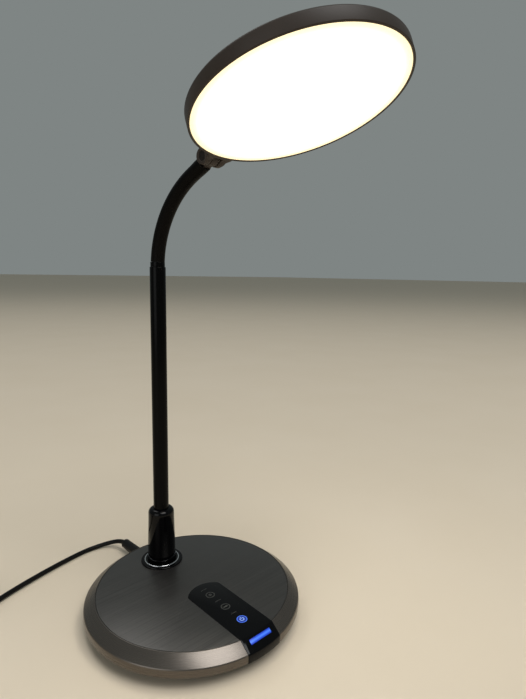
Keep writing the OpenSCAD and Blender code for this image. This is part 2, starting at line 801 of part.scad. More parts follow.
module led_strip() {
    color([0.9, 0.9, 0.88]) at_head_middle() difference() {
        disc(led_strip_r, guide_z, guide_t + reflector_t);
        disc(led_strip_r - led_strip_t, guide_z - cut, guide_t + reflector_t + 2 * cut);
    }
}

module leds() {
    color([1, 0.95, 0.7]) at_head_middle() for (i = [0:led_count - 1]) rotate(360 * (i + 0.5) / led_count)
        translate([led_face_r, -led_w / 2, guide_z + (guide_t - led_h) / 2]) cube([led_depth, led_w, led_h]);
}

module diffuser() {
    color([1, 0.98, 0.92]) at_head_middle() disc(well_r - fit, diffuser_z, diffuser_t);
}

module dc_plug() {
    color([0.04, 0.04, 0.04]) translate([0, plug_front, jack_z]) rotate([-90, 0, 0]) difference() {
        union() {
            cylinder(d = plug_d, h = plug_grip_l);
            translate([0, 0, plug_grip_l])
                cylinder(d1 = plug_d, d2 = plug_tail_d, h = plug_l - plug_grip_l);
        }
        translate([0, 0, -cut]) cylinder(d = barrel_d + 2 * press, h = plug_grip_l + cut);
    }
}

module dc_plug_barrel() {
    color([0.75, 0.76, 0.78]) difference() {
        rod_y(barrel_d, [0, plug_front - barrel_l, jack_z], barrel_l + plug_grip_l);
        rod_y(barrel_bore, [0, plug_front - barrel_l - cut, jack_z], barrel_l + cut);
    }
}

function unit(v) = v / norm(v);
function heading(p, i) = unit(p[min(i + 1, len(p) - 1)] - p[max(i - 1, 0)]);
function hoop(p, i, r, n) = let(t = heading(p, i), s = unit(cross(t, [0, 0, 1])), u = cross(s, t))
    [for (k = [0:n - 1]) p[i] + r * (cos(360 * k / n) * s + sin(360 * k / n) * u)];

// One unbroken tube of n sides along the points p
module tube(p, r, n) {
    m = len(p);
    polyhedron(points = [for (i = [0:m - 1]) each hoop(p, i, r, n)], faces = concat(
        [for (k = [1:n - 2]) [0, k + 1, k]],
        [for (k = [1:n - 2]) [(m - 1) * n, (m - 1) * n + k, (m - 1) * n + k + 1]],
        [for (i = [0:m - 2]) for (k = [0:n - 1]) [i * n + k, i * n + (k + 1) % n, (i + 1) * n + k]],
        [for (i = [0:m - 2]) for (k = [0:n - 1])
            [i * n + (k + 1) % n, (i + 1) * n + (k + 1) % n, (i + 1) * n + k]]));
}

module cord_lead() {
    color([0.03, 0.03, 0.03]) tube(lead_path, cord_r, cord_sides);
}

module cord_coil() {
    echo(coil_gap_mm = coil_gap(), cord_length_mm = cord_length);
    color([0.03, 0.03, 0.03]) tube(coil_path, cord_r, coil_sides);
}

module cord_tail() {
    color([0.03, 0.03, 0.03]) tube(tail_path, cord_r, cord_sides);
}

module coil_tie() {
    width = coil_out - coil_in + cord_d + 2 * tie_gap;
    height = (layers - 1) * turn_step + cord_d + tie_gap;
    color([0.05, 0.05, 0.05]) translate([coil_at[0], coil_at[1], 0]) rotate(coil_from + tie_turn)
        translate([(coil_in + coil_out) / 2, 0, 0]) difference() {
            translate([-width / 2 - tie_t, -tie_w / 2, 0])
                cube([width + 2 * tie_t, tie_w, height + 2 * tie_t]);
            translate([-width / 2, -tie_w, tie_t]) cube([width, 2 * tie_w, height]);
        }
}

// Places a shape at the back of the far plug, with Y along the plug
module at_far_plug() {
    translate(far_plug_point) children();
}

module far_plug() {
    color([0.04, 0.04, 0.04]) at_far_plug() {
        rotate([-90, 0, 0]) cylinder(d1 = far_guard_d[0], d2 = far_guard_d[1], h = far_guard_l + eps);
        translate([-far_plug_size[0] / 2, far_guard_l, -far_plug_size[2] / 2]) cube(far_plug_size);
    }
}

module far_plug_shell() {
    wall = 2 * far_shell_t;
    inner = [far_shell_size[0] - wall, far_shell_size[1], far_shell_size[2] - wall];
    color([0.75, 0.76, 0.78]) at_far_plug() translate([0, far_shell_y, 0]) difference() {
        translate([-far_shell_size[0] / 2, 0, -far_shell_size[2] / 2]) cube(far_shell_size);
        translate([-inner[0] / 2, far_shell_t, -inner[2] / 2]) cube(inner);
    }
}

module far_plug_tongue() {
    wall = 2 * far_shell_t;
    size = [far_shell_size[0] - wall, far_shell_size[1] - wall, (far_shell_size[2] - wall) / 2];
    color([0.92, 0.92, 0.92]) at_far_plug()
        translate([-size[0] / 2, far_shell_y + far_shell_t, 0]) cube(size);
}

foot_pad();
base_pan();
pan_screws();
steel_weight();
base_shell();
top_plate();
touch_strip();
light_bar();
touch_board();
touch_pads();
indicator_leds();
board_screws();
driver_board();
driver_choke();
driver_capacitor();
dc_jack();
jack_pin();
trim_ring();
collar();
stem_tube();
stem_bush();
stem_washer();
stem_nut();
stem_lead();
neck_root();
for (k = [1:link_count]) neck_link(k);
neck_tip();
head_shell();
tilt_pin();
tilt_nut();
tilt_washers();
back_plate();
reflector();
light_guide();
led_strip();
leds();
diffuser();
dc_plug();
dc_plug_barrel();
cord_lead();
cord_coil();
coil_tie();
cord_tail();
far_plug();
far_plug_shell();
far_plug_tongue();
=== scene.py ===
import math
import bmesh
import bpy
from mathutils import Matrix, Vector
from mathutils.geometry import interpolate_bezier


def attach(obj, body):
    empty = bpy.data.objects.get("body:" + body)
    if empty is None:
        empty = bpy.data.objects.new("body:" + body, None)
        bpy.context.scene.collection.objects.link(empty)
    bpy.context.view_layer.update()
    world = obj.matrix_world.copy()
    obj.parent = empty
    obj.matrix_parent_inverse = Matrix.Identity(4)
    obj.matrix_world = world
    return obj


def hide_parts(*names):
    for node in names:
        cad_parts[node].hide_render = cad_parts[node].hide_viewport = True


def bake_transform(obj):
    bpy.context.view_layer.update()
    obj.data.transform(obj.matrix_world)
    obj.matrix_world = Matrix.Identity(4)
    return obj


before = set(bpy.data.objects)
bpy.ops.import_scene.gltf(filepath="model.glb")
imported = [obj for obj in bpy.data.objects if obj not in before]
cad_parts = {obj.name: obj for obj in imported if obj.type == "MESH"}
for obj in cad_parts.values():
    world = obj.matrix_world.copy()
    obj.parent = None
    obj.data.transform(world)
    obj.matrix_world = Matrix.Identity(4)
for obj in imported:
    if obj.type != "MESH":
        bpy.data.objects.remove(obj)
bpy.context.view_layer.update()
mm = 0.001


# Camera: in front of the lamp and to its left, level with the upper stem and looking slightly down.
# Its place, turn and lens come from fitting the base, stem, neck and head to the photograph.
camera_right = Vector((0.72723, -0.68621, 0.01558))
camera_up = Vector((0.08945, 0.11726, 0.98906))
camera_at = Vector((-0.23537, -0.33008, 0.28716))
camera = bpy.data.objects.new("camera", bpy.data.cameras.new("camera"))
camera.data.lens = 26.107
camera.data.clip_start = 0.01
camera_turn = Matrix((camera_right, camera_up, camera_right.cross(camera_up))).transposed().to_4x4()
camera.matrix_world = Matrix.Translation(camera_at) @ camera_turn
bpy.context.scene.collection.objects.link(camera)
bpy.context.scene.camera = camera
bpy.context.scene.view_settings.view_transform = "Standard"


# Floor: a plain pale table top under the lamp, in an even grey room.
# One soft lamp hangs high in front; weaker ones stand to the left and behind.
def linear(hex_colour):
    """An sRGB hex colour as linear red, green, blue and alpha."""
    parts = [int(hex_colour[i:i + 2], 16) / 255 for i in (1, 3, 5)]
    return [p / 12.92 if p <= 0.04045 else ((p + 0.055) / 1.055) ** 2.4 for p in parts] + [1.0]


def node(tree, kind, output, links, into=None, **settings):
    """Adds a shader node with its settings and gives the named output, joined to a socket if into names one.
    Each entry of links sets an input to a value or joins it to a socket."""
    made = tree.nodes.new("ShaderNode" + kind)
    for name, value in settings.items():
        setattr(made, name, value)
    for name, value in links.items():
        if isinstance(value, bpy.types.NodeSocket):
            tree.links.new(value, made.inputs[name])
        else:
            made.inputs[name].default_value = value
    if into is not None:
        tree.links.new(made.outputs[output], into)
    return made.outputs[output]


def material(name, hex_colour, **constants):
    """A new material with its shader's constants set; also gives the shader's inputs, the node tree and
    the Object coordinates that its patterns use."""
    made = bpy.data.materials.new(name)
    made.use_nodes = True
    inputs = made.node_tree.nodes["Principled BSDF"].inputs
    inputs["Base Color"].default_value = linear(hex_colour)
    for socket, value in constants.items():
        inputs[socket.replace("_", " ")].default_value = value
    return made, inputs, made.node_tree, node(made.node_tree, "TexCoord", "Object", {})


# Satin laminate: pale warm beige, with clouds about 170 mm wide that hardly show, and a soft shine
floor_top, inputs, tree, place = material("satin_laminate", "#d8c9b2", Roughness=0.55)
cloud = node(tree, "TexNoise", "Fac", {"Vector": place, "Scale": 1 / (166.7 * mm), "Detail": 3.0})
node(tree, "Mix", 2, {0: cloud, 6: linear("#d6c7b0"), 7: linear("#dbcdb8")}, inputs["Base Color"],
     data_type="RGBA")
table = bmesh.new()
bmesh.ops.create_grid(table, x_segments=1, y_segments=1, size=40.0)
floor = bpy.data.objects.new("floor", bpy.data.meshes.new("floor"))
table.to_mesh(floor.data)
floor.data.materials.append(floor_top)
bpy.context.scene.collection.objects.link(floor)

world = bpy.data.worlds.new("grey_room")
world.use_nodes = True
background = world.node_tree.nodes["Background"].inputs
background["Color"].default_value = linear("#7f8584")
background["Strength"].default_value = 1.0
bpy.context.scene.world = world
lamp_aim = Vector((0, 0, 0.15))
for name, spot, width, power in (("lamp_front", (0.0, -2.15, 4.1), 2.6, 130.0),
                                 ("lamp_left", (-3.9, -0.9, 1.6), 2.7, 35.0),
                                 ("lamp_back", (-0.3, 2.6, 4.4), 2.0, 30.0)):
    light = bpy.data.objects.new(name, bpy.data.lights.new(name, "AREA"))
    light.data.size = width
    light.data.energy = power
    light.location = spot
    light.visible_camera = False
    light.rotation_euler = (lamp_aim - Vector(spot)).to_track_quat("-Z", "Y").to_euler()
    bpy.context.scene.collection.objects.link(light)


# Supply cord: a round two-core lead in a soft black sheath, moulded into its plug at one end.
# It leaves the plug behind the base, drops to the table, runs off to the left and ends in a tied coil.
cord_d, turn_gap = 4.4, 0.5
turn_step = cord_d + turn_gap
coil_turns, coil_layers, coil_from = 2.028, 4, -60.0
coil_middle, coil_low, coil_climb = Vector((-163.0, 132.45, 0.0)), 3.1, 0.25
coil_d = 49.7
coil_out = coil_d / 2 + coil_turns * turn_step / 2
loop_points, stretch_points = 24, 10


def coil_point(turns):
    """The coil's middle line after so many turns: spiralling in and out, one layer on the next."""
    inward = abs((turns / coil_turns + 1) % 2 - 1)
    climbs = [min(max((turns - k * coil_turns + coil_climb) / (2 * coil_climb), 0), 1)
              for k in range(1, coil_layers)]
    rise = sum(x * x * (3 - 2 * x) for x in climbs) * turn_step
    radius = coil_out - coil_turns * turn_step * inward
    angle = math.radians(coil_from - 360 * turns)
    return coil_middle + Vector((radius * math.cos(angle), radius * math.sin(angle), coil_low + rise))


def coil_heading(turns):
    """The way the cord runs in the coil after so many turns."""
    angle = math.radians(coil_from - 360 * turns)
    return Vector((math.sin(angle), -math.cos(angle), 0))


coil_length = coil_turns * coil_layers
coil_count = math.ceil(coil_length * loop_points)
sideways, backward = Vector((-1, 0, 0)), Vector((0, 1, 0))
plug_front, plug_l, plug_axis = 85.65, 35.2, 10.0
cord_start = Vector((0, plug_front + plug_l, plug_axis))
swing_at = cord_start + Vector((-27.5, 25.7, -7.8))
coil_first = coil_point(0) - cord_d * coil_heading(0)
coil_last = coil_point(coil_length) + cord_d * coil_heading(coil_length)
far_plug_point = coil_middle + Vector((-40, 13, 4))
start_pull, swing_pull, run_pull, coil_pull, tail_pull = 10.5, 22.2, 13.5, 41.2, 24
swing = interpolate_bezier(cord_start, cord_start + start_pull * backward,
                           swing_at - swing_pull * sideways, swing_at, stretch_points)
run = interpolate_bezier(swing_at, swing_at + run_pull * sideways,
                         coil_first - coil_pull * coil_heading(0), coil_first, stretch_points)
coil = [coil_point(coil_length * i / coil_count) for i in range(coil_count + 1)]
tail = interpolate_bezier(coil_last, coil_last + tail_pull * coil_heading(coil_length),
                          far_plug_point - tail_pull * backward, far_plug_point, stretch_points)
cord_points = swing + run[1:] + coil + tail
cord_line = bpy.data.curves.new("supply_cord", "CURVE")
cord_line.dimensions = "3D"
cord_line.bevel_depth = cord_d / 2 * mm
cord_line.bevel_resolution = 4
cord_line.use_fill_caps = True
cord_line.resolution_u = 4
spline = cord_line.splines.new("BEZIER")
spline.bezier_points.add(len(cord_points) - 1)
for bend, point in zip(spline.bezier_points, cord_points):
    bend.co = point * mm
    bend.handle_left_type = bend.handle_right_type = "AUTO"

# Flexible PVC sheath, drawn smooth: near black, with a soft broad shine and slight rubbing marks
cord_sheath, inputs, tree, place = material("flexible_pvc", "#080808", Roughness=0.42, IOR=1.53,
                                            Specular_IOR_Level=0.13)
rubbed = node(tree, "TexNoise", "Fac", {"Vector": place, "Scale": 1 / (3 * mm), "Detail": 3.0})
node(tree, "MapRange", 0, {"Value": rubbed, "To Min": 0.34, "To Max": 0.52}, inputs["Roughness"])
node(tree, "Mix", 2, {0: rubbed, 6: linear("#060606"), 7: linear("#0b0a09")}, inputs["Base Color"],
     data_type="RGBA")
node(tree, "Bump", 0, {"Strength": 0.15, "Distance": 0.05 * mm, "Height": rubbed}, inputs["Normal"])
cord = bpy.data.objects.new("supply_cord", cord_line)
cord.data.materials.append(cord_sheath)
bpy.context.scene.collection.objects.link(cord)
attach(cord, "base")
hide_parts("cord_lead", "cord_coil", "cord_tail")


# Supply plug: a moulded black plug that tapers towards the cord, with its plated barrel in the socket.
# The moulding is turned here: a straight grip, a shallow step and a long taper that guards the cord.
def rounded(bm, edges, rounding, segments):
    """Rounds edges of a bmesh by so many millimetres."""
    bmesh.ops.bevel(bm, geom=edges, offset=rounding * mm, segments=segments, profile=0.5, affect="EDGES",
                    material=-1)
    return bm


def turned(outline, steps=128, rounds=(), turn=math.tau):
    """Lathe work: (radius, height) corners in mm go round the Z axis.
    rounds lists the corners to round, each as (radius, height, rounding, segments)."""
    bm = bmesh.new()
    ring = [bm.verts.new((r * mm, 0, z * mm)) for r, z in outline]
    onward = ring[1:] + ([] if outline[0][0] == 0 and outline[-1][0] == 0 else ring[:1])
    edges = [bm.edges.new(pair) for pair in zip(ring, onward)]
    bmesh.ops.spin(bm, geom=ring + edges, cent=(0, 0, 0), axis=(0, 0, 1), angle=turn, steps=steps,
                   use_merge=turn == math.tau)
    bmesh.ops.remove_doubles(bm, verts=bm.verts[:], dist=1e-7)
    bmesh.ops.recalc_face_normals(bm, faces=bm.faces[:])
    for r, z, size, segments in rounds:
        loop = [e for e in bm.edges if all(abs(v.co.xy.length - r * mm) < 1e-6 and abs(v.co.z - z * mm) < 1e-6
                                           for v in e.verts)]
        rounded(bm, loop, size, segments)
    return bm


def put(bm, *moves):
    """Moves everything in a bmesh, the last named move first."""
    for move in reversed(moves):
        bmesh.ops.transform(bm, matrix=move, verts=bm.verts[:])
    return bm


def piece(name, bm, finish, body, slot, *nodes, sharp=35):
    """Makes the bmesh a named piece with its finish, riding on its body in place of the CAD nodes."""
    mesh = bpy.data.meshes.new(name)
    bm.to_mesh(mesh)
    bm.free()
    mesh.shade_smooth()
    mesh.set_sharp_from_angle(angle=math.radians(sharp))
    mesh.materials.append(finish)
    made = bpy.data.objects.new(name, mesh)
    bpy.context.scene.collection.objects.link(made)
    if body:
        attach(made, body)
    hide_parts(*nodes)
    return made


# Moulded PVC: black, fine spark-eroded texture from the tool, soft shine on the worn edges
moulded_pvc, inputs, tree, place = material("moulded_pvc", "#060606", Roughness=0.45, IOR=1.53,
                                            Specular_IOR_Level=0.13)
grain = node(tree, "TexNoise", "Fac", {"Vector": place, "Scale": 1 / (0.5 * mm), "Detail": 2.0})
node(tree, "MapRange", 0, {"Value": grain, "To Min": 0.38, "To Max": 0.56}, inputs["Roughness"])
node(tree, "Bump", 0, {"Strength": 0.3, "Distance": 0.05 * mm, "Height": grain}, inputs["Normal"])
along_y = Matrix.Rotation(math.radians(-90), 4, "X")
plug_place = Matrix.Translation((0, plug_front * mm, plug_axis * mm)) @ along_y
grip_r, taper_r, tail_r, barrel_r, cord_hole_r = 5.5, 5.2, 4.4, 2.78, 2.0
grip_l, taper_from, barrel_end = 8.8, 9.4, 12
plug_shape = turned([(barrel_r, 0), (grip_r, 0), (grip_r, grip_l), (taper_r, taper_from), (tail_r, plug_l),
                     (cord_hole_r, plug_l), (cord_hole_r, barrel_end), (barrel_r, barrel_end)], 64,
                    [(grip_r, 0, 0.5, 3), (grip_r, grip_l, 0.4, 3), (tail_r, plug_l, 0.9, 5)])
plug = piece("dc_plug_moulding", put(plug_shape, plug_place), moulded_pvc, "base", "black_plastic", "dc_plug")


def repaint(finish, *nodes):
    """Gives a finish to CAD nodes that keep their own solids."""
    for name in nodes:
        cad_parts[name].data.materials.clear()
        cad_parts[name].data.materials.append(finish)


# Nickel-plated brass: the barrel and the far plug's shell are bright, slightly yellow and finely drawn
plated_brass, inputs, tree, place = material("nickel_plated_brass", "#c9c5bd", Metallic=1.0, Roughness=0.22)
mark_l, mark_w = 16.7 * mm, 0.25 * mm
drawn_out = node(tree, "Mapping", 0, {"Vector": place, "Scale": (1 / mark_w, 1 / mark_l, 1 / mark_w)})
drawn = node(tree, "TexNoise", "Fac", {"Vector": drawn_out, "Scale": 1.0, "Detail": 2.0})
node(tree, "MapRange", 0, {"Value": drawn, "To Min": 0.16, "To Max": 0.3}, inputs["Roughness"])
repaint(plated_brass, "dc_plug_barrel", "far_plug_shell")


# Far plug and coil tie, past the left of the picture: a flat moulded plug body with a short guard for the
# cord, its plated shell, the white tongue in it, and a soft strap that holds the coil.
def sharp_edges(bm, degrees):
    """The edges where two faces meet at more than so many degrees."""
    return [e for e in bm.edges if len(e.link_faces) == 2 and e.calc_face_angle() > math.radians(degrees)]


def block(low, high, rounding, segments=3):
    """A box between two corners in mm, with all its edges rounded."""
    bm = bmesh.new()
    low, high = Vector(low) * mm, Vector(high) * mm
    box = Matrix.Translation((low + high) / 2) @ Matrix.Diagonal(high - low).to_4x4()
    bmesh.ops.create_cube(bm, size=1, matrix=box)
    return rounded(bm, bm.edges[:], rounding, segments)


far_place = Matrix.Translation(far_plug_point * mm)
far_wide, far_high, far_l, guard_l, guard_r, guard_end_r = 16, 8, 23, 12.0, 3.2, 3.7
far_shape = block((-far_wide / 2, guard_l, -far_high / 2),
                  (far_wide / 2, guard_l + far_l, far_high / 2), 1.6, 4)
far_plug = piece("far_plug_body", put(far_shape, far_place), moulded_pvc, "base", "black_plastic", "far_plug")
guard = turned([(0, 0), (guard_r, 0), (guard_end_r, guard_l + 1), (0, guard_l + 1)], 48,
               [(guard_r, 0, 0.6, 4)])
far_guard = piece("far_plug_guard", put(guard, far_place @ along_y), moulded_pvc, "base", "black_plastic")
# Woven nylon strap: dull black, with threads that show as a coarse grain and a faint sheen
strap_nylon, inputs, tree, place = material("woven_nylon_strap", "#1c1c1d", Roughness=0.8, Sheen_Weight=0.2)
threads = node(tree, "TexNoise", "Fac", {"Vector": place, "Scale": 1 / (0.8 * mm), "Detail": 1.0})
node(tree, "Bump", 0, {"Strength": 0.6, "Distance": 0.1 * mm, "Height": threads}, inputs["Normal"])
tie_thick, tie_long, tie_gap, tie_turn, tie_corner = 0.8, 8.0, 0.4, 170.0, 2.4
tie_wide = coil_turns * turn_step + cord_d + 2 * (tie_gap + tie_thick)
tie_high = (coil_layers - 1) * turn_step + cord_d + tie_gap + 2 * tie_thick
strap = bmesh.new()
tie_size = Matrix.Diagonal((tie_wide * mm, tie_long * mm, tie_high * mm, 1))
tie_box = Matrix.Translation((coil_d / 2 * mm, 0, tie_high / 2 * mm)) @ tie_size
bmesh.ops.create_cube(strap, size=1, matrix=tie_box)
rounded(strap, [e for e in strap.edges if abs(e.verts[0].co.y - e.verts[1].co.y) > mm], tie_corner, 6)
bmesh.ops.delete(strap, geom=[f for f in strap.faces if abs(f.normal.y) > 0.9], context="FACES_ONLY")
bmesh.ops.solidify(strap, geom=strap.faces[:], thickness=tie_thick * mm)
bmesh.ops.recalc_face_normals(strap, faces=strap.faces[:])
rounded(strap, sharp_edges(strap, 60), 0.2, 2)
tie_place = Matrix.Translation(coil_middle * mm) @ Matrix.Rotation(math.radians(coil_from + tie_turn), 4, "Z")
coil_tie = piece("coil_tie_strap", put(strap, tie_place), strap_nylon, "base", "foam_black", "coil_tie")
# Moulded white nylon: milky white and half dull
white_nylon, inputs, tree, place = material("moulded_white_nylon", "#e6e5e1", Roughness=0.5)
milky = node(tree, "TexNoise", "Fac", {"Vector": place, "Scale": 1 / (4 * mm)})
node(tree, "MapRange", 0, {"Value": milky, "To Min": 0.42, "To Max": 0.6}, inputs["Roughness"])
repaint(white_nylon, "far_plug_tongue")


# Base pan and foot: a dark moulded pan closes the base from below, set in under the rim, with the supply
# socket in its back wall. A thin foam pad under it covers the screws and grips the table.
def merged(name):
    """A copy of a CAD node's mesh with its flat faces joined."""
    bm = bmesh.new()
    bm.from_mesh(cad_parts[name].data)
    bmesh.ops.remove_doubles(bm, verts=bm.verts[:], dist=1e-6)
    bmesh.ops.dissolve_limit(bm, angle_limit=math.radians(0.5), verts=bm.verts[:], edges=bm.edges[:])
    return bm


# Moulded black ABS: dark, with a fine spark-eroded grain that breaks up its shine
moulded_abs, inputs, tree, place = material("moulded_black_abs", "#151516", Roughness=0.5, IOR=1.54)
grain = node(tree, "TexNoise", "Fac", {"Vector": place, "Scale": 1 / (0.6 * mm), "Detail": 2.0})
node(tree, "MapRange", 0, {"Value": grain, "To Min": 0.42, "To Max": 0.6}, inputs["Roughness"])
node(tree, "Bump", 0, {"Strength": 0.25, "Distance": 0.05 * mm, "Height": grain}, inputs["Normal"])
piece("base_pan_moulding", merged("base_pan"), moulded_abs, "base", "black_plastic", "base_pan")
# Closed-cell foam: dull dark grey, pitted by its small cells
foot_foam, inputs, tree, place = material("closed_cell_foam", "#1b1b1c", Roughness=0.85)
cells = node(tree, "TexVoronoi", "Distance", {"Vector": place, "Scale": 1 / (0.7 * mm)})
node(tree, "Bump", 0, {"Strength": 0.5, "Distance": 0.1 * mm, "Height": cells}, inputs["Normal"])
foot_r, foot_t = 71, 2
foot = turned([(0, 0), (foot_r, 0), (foot_r, foot_t), (0, foot_t)], 128, [(foot_r, 0, 0.5, 3)])
piece("foot_pad_foam", foot, foot_foam, "base", "foot_rubber", "foot_pad")


# Base shell: the moulded ring and deck of the base, in satin gunmetal paint. Its sloped rim and short upright
# band are rounded a little at each edge; a shallow pocket for the touch strip runs over them in front, and
# a round notch at the back lets the supply plug in.
# Satin gunmetal paint: warm dark grey metal with small flakes, whose shine is drawn out by lines turned round
# the base. The lines are drawn coarser than life so that they show.
gunmetal, inputs, tree, place = material("satin_gunmetal_paint", "#625c56", Metallic=0.9, Roughness=0.3)
flakes = node(tree, "TexVoronoi", "Color", {"Vector": place, "Scale": 1 / (0.25 * mm)})
node(tree, "Mix", 2, {0: flakes, 6: linear("#5f5953"), 7: linear("#66605a")}, inputs["Base Color"],
     data_type="RGBA")
flat = node(tree, "VectorMath", 0, {0: place, 1: (1, 1, 0)}, operation="MULTIPLY")
out = node(tree, "VectorMath", "Value", {0: flat}, operation="LENGTH")
up = node(tree, "SeparateXYZ", "Z", {0: place})
down = node(tree, "Math", 0, {0: out, 1: up}, operation="SUBTRACT")
turning = node(tree, "TexNoise", "Fac", {"W": down, "Scale": 1 / (0.3 * mm), "Detail": 2.0},
               noise_dimensions="1D")
node(tree, "MapRange", 0, {"Value": turning, "From Min": 0.3, "From Max": 0.7,
                           "To Min": 0.25, "To Max": 0.34}, inputs["Roughness"])
node(tree, "Bump", 0, {"Strength": 0.2, "Distance": 0.02 * mm, "Height": turning}, inputs["Normal"])
base_r, base_h, rim_r, rim_z, band_z = 90.0, 24.0, 81.2, 17.2, 10.9
rim_slope = math.atan2(base_h - rim_z, base_r - rim_r)
strip_half, strip_end, strip_bow, strip_corner, strip_rise, strip_thick = 16.0, 6.0, 20.0, 5.0, 0.35, 1.9
strip_fit, skin_in_r, skin_from, skin_turn, outline_cuts = 0.1, 4, -150, 120, 20
strip_top = base_h + strip_rise


def strip_skin(foot):
    """The base's own skin, lifted a little and cut to the touch strip's outline, down to a foot."""
    bm = bmesh.new()
    profile = ((skin_in_r, strip_top), (rim_r + strip_rise * math.tan(rim_slope / 2), strip_top),
               (base_r + strip_rise, rim_z + strip_rise * math.tan(math.pi / 4 - rim_slope / 2)),
               (base_r + strip_rise, foot))
    turn = Matrix.Rotation(math.radians(skin_from), 4, "Z")
    line = [bm.verts.new(turn @ Vector((r * mm, 0, z * mm))) for r, z in profile]
    edges = [bm.edges.new(pair) for pair in zip(line, line[1:])]
    bmesh.ops.spin(bm, geom=line + edges, cent=(0, 0, 0), axis=(0, 0, 1), angle=math.radians(skin_turn),
                   steps=80)
    corner_y = math.sqrt((strip_bow - strip_corner) ** 2 - (strip_half - strip_corner) ** 2)
    for step in range(-outline_cuts, outline_cuts + 1):
        angle = math.radians(90 * step / outline_cuts)
        aim = Vector((math.sin(angle), math.cos(angle), 0))
        corner = Vector(((strip_half - strip_corner) * (1 if step > 0 else -1), corner_y, 0))
        on_bow = abs(math.atan2(corner.x, corner.y)) > abs(angle)
        edge = aim * strip_bow if on_bow else corner + aim * strip_corner
        bmesh.ops.bisect_plane(bm, geom=bm.verts[:] + bm.edges[:] + bm.faces[:], dist=1e-7, plane_no=aim,
                               plane_co=(edge - Vector((0, strip_end + strip_bow, 0))) * mm, clear_outer=True)
    bmesh.ops.recalc_face_normals(bm, faces=bm.faces[:])
    if sum(f.normal.z * f.calc_area() for f in bm.faces) < 0:
        bmesh.ops.reverse_faces(bm, faces=bm.faces[:])
    bmesh.ops.dissolve_limit(bm, angle_limit=math.radians(0.2), verts=bm.verts[:], edges=bm.edges[:])
    return bm


def cut_from(bm, room):
    """Cuts the room of another shape out of a shape, both closed."""
    pair = []
    for shape in (bm, room):
        bmesh.ops.recalc_face_normals(shape, faces=shape.faces[:])
        pair.append(bpy.data.objects.new("shape", bpy.data.meshes.new("shape")))
        shape.to_mesh(pair[-1].data)
        bpy.context.scene.collection.objects.link(pair[-1])
    pair[0].modifiers.new("cut", "BOOLEAN").object = pair[1]
    cut = bpy.data.meshes.new_from_object(pair[0].evaluated_get(bpy.context.evaluated_depsgraph_get()))
    bm.clear()
    bm.from_mesh(cut)
    room.free()
    for made in pair:
        bpy.data.objects.remove(made)
    return bm


def strip_room():
    """The pocket of the touch strip, a little deeper than the strip and open at the foot."""
    bm = strip_skin(band_z - 1)
    bmesh.ops.solidify(bm, geom=bm.faces[:], thickness=(strip_thick + strip_fit) * mm)
    return bm


deck_z, deck_r, seat_z, seat_r, inner_r, inner_top = 20, 82.05, 22.4, 80.7, 87, 16.18
shell = turned([(0, deck_z), (deck_r, deck_z), (inner_r, inner_top), (inner_r, band_z), (base_r, band_z),
                (base_r, rim_z), (rim_r, base_h), (seat_r, base_h), (seat_r, seat_z), (0, seat_z)], 192,
               [(base_r, rim_z, 0.8, 5), (rim_r, base_h, 0.2, 3), (base_r, band_z, 0.5, 3)])
notch_r, notch_in, notch_out = 6.3, 80, 95
plug_room = put(turned([(0, notch_in), (notch_r, notch_in), (notch_r, notch_out), (0, notch_out)], 64),
                Matrix.Translation((0, 0, plug_axis * mm)), along_y)
shell_shape = cut_from(cut_from(shell, strip_room()), plug_room)
piece("base_shell_ring", shell_shape, gunmetal, "base", "grey_shell", "base_shell")


# Top plate: a thin aluminium disc, brushed straight across and anodised dark grey, let into the shell.
# Brushed anodised aluminium: dark neutral metal, whose shine is broken into fine lines across the lamp.
# The lines are drawn coarser than life so that they show.
brushed_plate, inputs, tree, place = material("brushed_anodised_aluminium", "#595755", Metallic=0.9,
                                              Roughness=0.38)
line_length, line_width, streak_width = 120 * mm, 0.35 * mm, 1.4 * mm
fine_lines, broad_lines = [
    node(tree, "Mapping", 0, {"Vector": place, "Scale": (1 / line_length, 1 / width, 1)})
    for width in (line_width, streak_width)]
fine, broad = [node(tree, "TexNoise", "Fac", {"Vector": lines, "Scale": 1.0, "Detail": 2.0})
               for lines in (fine_lines, broad_lines)]
brush = node(tree, "Mix", 0, {0: 0.3, 2: fine, 3: broad})
node(tree, "MapRange", 0, {"Value": brush, "From Min": 0.35, "From Max": 0.65,
                           "To Min": 0.28, "To Max": 0.44}, inputs["Roughness"])
toned = node(tree, "MapRange", 0, {"Value": brush, "From Min": 0.35, "From Max": 0.65})
node(tree, "Mix", 2, {0: toned, 6: linear("#52504e"), 7: linear("#615f5c")}, inputs["Base Color"],
     data_type="RGBA")
node(tree, "Bump", 0, {"Strength": 0.5, "Distance": 0.06 * mm, "Height": brush}, inputs["Normal"])
plate_r = 80.4
plate = turned([(0, seat_z), (plate_r, seat_z), (plate_r, base_h), (0, base_h)], 192,
               [(plate_r, base_h, 0.2, 2)])
piece("top_plate_disc", cut_from(plate, strip_room()), brushed_plate, "base", "grey_plate", "top_plate")


